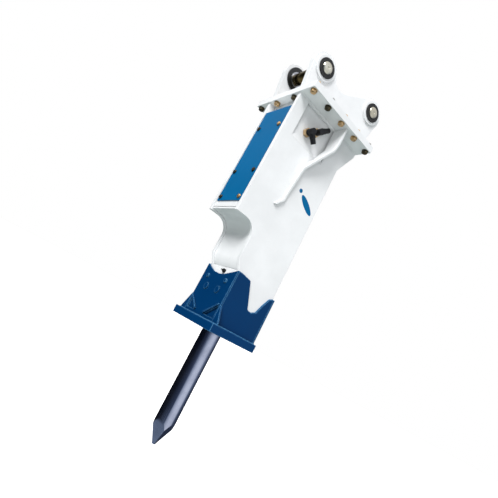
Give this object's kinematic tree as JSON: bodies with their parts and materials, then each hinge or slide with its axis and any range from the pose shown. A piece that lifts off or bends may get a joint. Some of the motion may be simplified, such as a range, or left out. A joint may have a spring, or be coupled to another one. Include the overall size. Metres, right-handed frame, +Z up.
{
  "type": "hydraulic breaker hammer",
  "caption": "Boxed hydraulic breaker with a pointed chisel, stepped side plates, claw-edged shoe, recessed hose ports and a bolted two-pin coupling bracket.",
  "frame": {"origin": "centre of the arm pin, midway between the two ear plates", "axes": "+Z up the tool axis towards the coupling bracket, +Y along both pins towards their keeper plates, +X from the arm pin towards the link pin"},
  "size_m": [0.81, 0.658, 3.0249],
  "materials": {
    "white_paint": "off-white semi-gloss enamel on welded plate",
    "blue_paint": "deep blue semi-gloss enamel on welded plate",
    "zinc_steel": "yellow passivated bolts and nuts, dulled",
    "black_steel": "black phosphated fittings",
    "brass": "tan brass hexagons",
    "black_rubber": "black seals",
    "polyurethane": "amber damper blocks",
    "pin_steel": "ground pins",
    "tool_steel": "blue-grey polished tool steel",
    "machined_steel": "fine turned and ground",
    "forged_steel": "dark forged blocks"
  },
  "bodies": {
    "housing": {"accumulator_body": "forged_steel", "accumulator_cover": "forged_steel", "accumulator_diaphragm": "black_rubber", "back_head": "forged_steel", "bottom_damper": "polyurethane", "bottom_flange": "blue_paint", "bracket_base_plate": "white_paint", "cylinder": "forged_steel", "ear_boss_collars": "white_paint", "ear_bushings": "machined_steel", "ear_plate_far": "white_paint", "ear_plate_near": "white_paint", "ear_stiffeners": "white_paint", "flange_bolts": "zinc_steel", "flange_nuts": "zinc_steel", "front_head": "forged_steel", "gas_valve": "brass", "grease_fitting": "black_steel", "hose_guard": "white_paint", "inner_bushing": "machined_steel", "lower_wall": "white_paint", "notch_plate": "white_paint", "outer_bushing": "machined_steel", "panel_bolts": "zinc_steel", "pin_seal_rings": "black_rubber", "piston_seals": "black_rubber", "port_adapters": "black_steel", "port_block": "forged_steel", "port_collars": "brass", "port_recess_pan": "white_paint", "pressure_elbow": "black_steel", "retainer_pins": "pin_steel", "retainer_plugs": "pin_steel", "return_elbow": "black_steel", "right_wall": "white_paint", "seal_retainer": "machined_steel", "shoe_gussets": "blue_paint", "shoe_plate_narrow": "blue_paint", "shoe_plate_right": "blue_paint", "shoe_plates_wide": "blue_paint", "side_plate_far": "white_paint", "side_plate_near": "white_paint", "side_wear_pads": "polyurethane", "strip_panel": "blue_paint", "through_bolt_nuts": "zinc_steel", "through_bolts": "zinc_steel", "thrust_ring": "machined_steel", "top_damper": "polyurethane", "top_flange": "white_paint", "upper_wall": "white_paint", "valve_sleeve": "machined_steel"},
    "tool": {"chisel": "tool_steel"},
    "piston_body": {"piston": "machined_steel"},
    "spool_body": {"valve_spool": "machined_steel"},
    "arm_pin_set": {"arm_pin": "pin_steel", "arm_pin_keeper": "pin_steel", "arm_keeper_bolt": "zinc_steel"},
    "link_pin_set": {"link_pin": "pin_steel", "link_pin_keeper": "pin_steel", "link_keeper_bolt": "zinc_steel"}
  },
  "joints": [
    {"name": "tool_slide", "type": "slide", "parent": "housing", "child": "tool", "axis": [0, 0, 1], "range_m": [0, 0.06]},
    {"name": "piston_stroke", "type": "slide", "parent": "housing", "child": "piston_body", "axis": [0, 0, 1], "range_m": [0, 0.12]},
    {"name": "valve_shift", "type": "slide", "parent": "housing", "child": "spool_body", "axis": [0, 0, 1], "range_m": [0, 0.025]},
    {"name": "arm_pin_pull", "type": "slide", "parent": "housing", "child": "arm_pin_set", "axis": [0, 1, 0], "range_m": [0, 0.6]},
    {"name": "link_pin_pull", "type": "slide", "parent": "housing", "child": "link_pin_set", "axis": [0, 1, 0], "range_m": [0, 0.6]}
  ]
}
